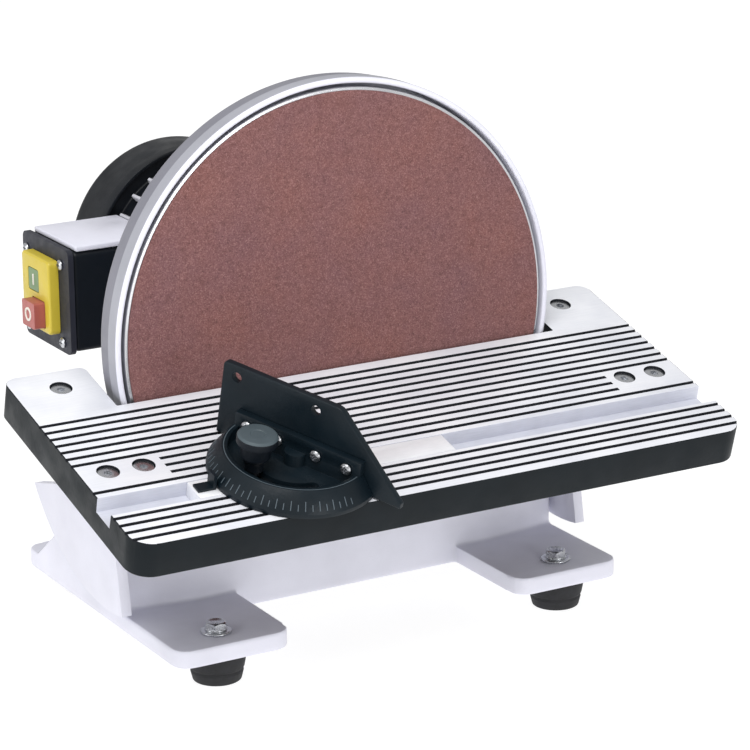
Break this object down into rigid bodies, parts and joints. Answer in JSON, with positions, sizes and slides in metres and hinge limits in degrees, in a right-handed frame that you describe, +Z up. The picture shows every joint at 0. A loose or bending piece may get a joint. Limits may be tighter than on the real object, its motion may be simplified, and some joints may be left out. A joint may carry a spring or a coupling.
{
  "type": "bench disc sander",
  "caption": "Bench disc sander with an enclosed direct-drive abrasive disc, tilting grooved table with sliding mitre gauge, finned motor, side switch box and cast stand on rubber feet.",
  "frame": {"origin": "floor level under the middle of the machine's box", "axes": "+X to the operator's right along the table, +Y back along the motor shaft, +Z up"},
  "size_m": [0.44, 0.4218, 0.361],
  "materials": {
    "cast_paint": "light grey stoving enamel over a casting",
    "motor_paint": "mid grey enamel",
    "black_enamel": "semi-gloss black enamel",
    "black_plastic": "black moulded plastic",
    "grey_plastic": "dark grey moulded plastic",
    "yellow_plastic": "yellow moulded plastic",
    "green_plastic": "green moulded plastic",
    "red_plastic": "red moulded plastic",
    "bearing_steel": "ground steel",
    "core_steel": "dark laminated steel",
    "zinc_steel": "bright zinc plated steel",
    "abrasive": "red-brown aluminium oxide grit on backing",
    "disc_aluminium": "machined aluminium",
    "table_aluminium": "machined cast aluminium with black painted rim and grooves",
    "foot_rubber": "black moulded rubber"
  },
  "bodies": {
    "stand": {"base_frame": "cast_paint", "disc_guard": "cast_paint", "motor_foot": "cast_paint", "switch_bracket": "cast_paint", "motor_front_shield": "motor_paint", "motor_housing": "motor_paint", "motor_rear_shield": "motor_paint", "fan_cowl": "black_enamel", "dust_port": "black_plastic", "switch_box": "black_plastic", "cable_gland": "black_plastic", "switch_cover": "grey_plastic", "switch_plate": "yellow_plastic", "front_bearing": "bearing_steel", "rear_bearing": "bearing_steel", "stator_core": "core_steel", "run_capacitor": "disc_aluminium", "tilt_stud": "zinc_steel", "tilt_guide_pin": "zinc_steel", "tilt_pointer": "zinc_steel", "foot_front_left": "foot_rubber", "foot_bolt_front_left": "zinc_steel", "foot_front_right": "foot_rubber", "foot_bolt_front_right": "zinc_steel", "foot_rear_left": "foot_rubber", "foot_bolt_rear_left": "zinc_steel", "foot_rear_right": "foot_rubber", "foot_bolt_rear_right": "zinc_steel", "cover_screw_1": "zinc_steel", "cover_screw_2": "zinc_steel", "cover_screw_3": "zinc_steel", "cover_screw_4": "zinc_steel"},
    "disc": {"abrasive_disc": "abrasive", "disc_plate": "disc_aluminium", "motor_shaft": "bearing_steel", "rotor_core": "core_steel", "cooling_fan": "black_plastic"},
    "work_table": {"table_top": "table_aluminium", "trunnion_left": "cast_paint", "trunnion_right": "cast_paint", "table_screw_left_1": "zinc_steel", "table_screw_left_2": "zinc_steel", "table_screw_left_3": "zinc_steel", "table_screw_right_1": "zinc_steel", "table_screw_right_2": "zinc_steel", "table_screw_right_3": "zinc_steel"},
    "tilt_knob": {"tilt_lock_knob": "black_plastic"},
    "mitre_slide_bar": {"mitre_bar": "disc_aluminium", "mitre_pivot_screw": "zinc_steel", "mitre_pointer": "black_enamel"},
    "mitre_gauge": {"mitre_head": "black_enamel", "mitre_fence": "black_enamel", "fence_screw_1": "zinc_steel", "fence_screw_2": "zinc_steel", "fence_screw_3": "zinc_steel", "fence_screw_4": "zinc_steel"},
    "mitre_lock": {"mitre_knob": "black_plastic"},
    "start_key": {"start_button": "green_plastic"},
    "stop_key": {"stop_button": "red_plastic"}
  },
  "joints": [
    {"name": "disc_spin", "type": "hinge", "parent": "stand", "child": "disc", "pos_m": [0, -0.04912, 0.2], "axis": [0, 1, 0], "continuous": true},
    {"name": "table_tilt", "type": "hinge", "parent": "stand", "child": "work_table", "pos_m": [0, -0.05212, 0.1705], "axis": [1, 0, 0], "range_deg": [-15.5, 29.5]},
    {"name": "tilt_knob_turn", "type": "hinge", "parent": "stand", "child": "tilt_knob", "pos_m": [0.185, 0.00046, 0.07161], "axis": [1, 0, 0], "continuous": true},
    {"name": "mitre_slide", "type": "slide", "parent": "work_table", "child": "mitre_slide_bar", "axis": [1, 0, 0], "range_m": [-0.058, 0.242]},
    {"name": "mitre_swing", "type": "hinge", "parent": "mitre_slide_bar", "child": "mitre_gauge", "pos_m": [-0.0921, -0.15195, 0.14281], "axis": [0, -0.2672, 0.9636], "range_deg": [-85, 25]},
    {"name": "mitre_lock_turn", "type": "hinge", "parent": "mitre_slide_bar", "child": "mitre_lock", "pos_m": [-0.1201, -0.15195, 0.14281], "axis": [0, -0.2672, 0.9636], "continuous": true},
    {"name": "start_press", "type": "slide", "parent": "stand", "child": "start_key", "axis": [1, 0, 0], "range_m": [0, 0.0025], "stiffness_N_per_m": 500},
    {"name": "stop_press", "type": "slide", "parent": "stand", "child": "stop_key", "axis": [1, 0, 0], "range_m": [0, 0.004], "stiffness_N_per_m": 500}
  ]
}
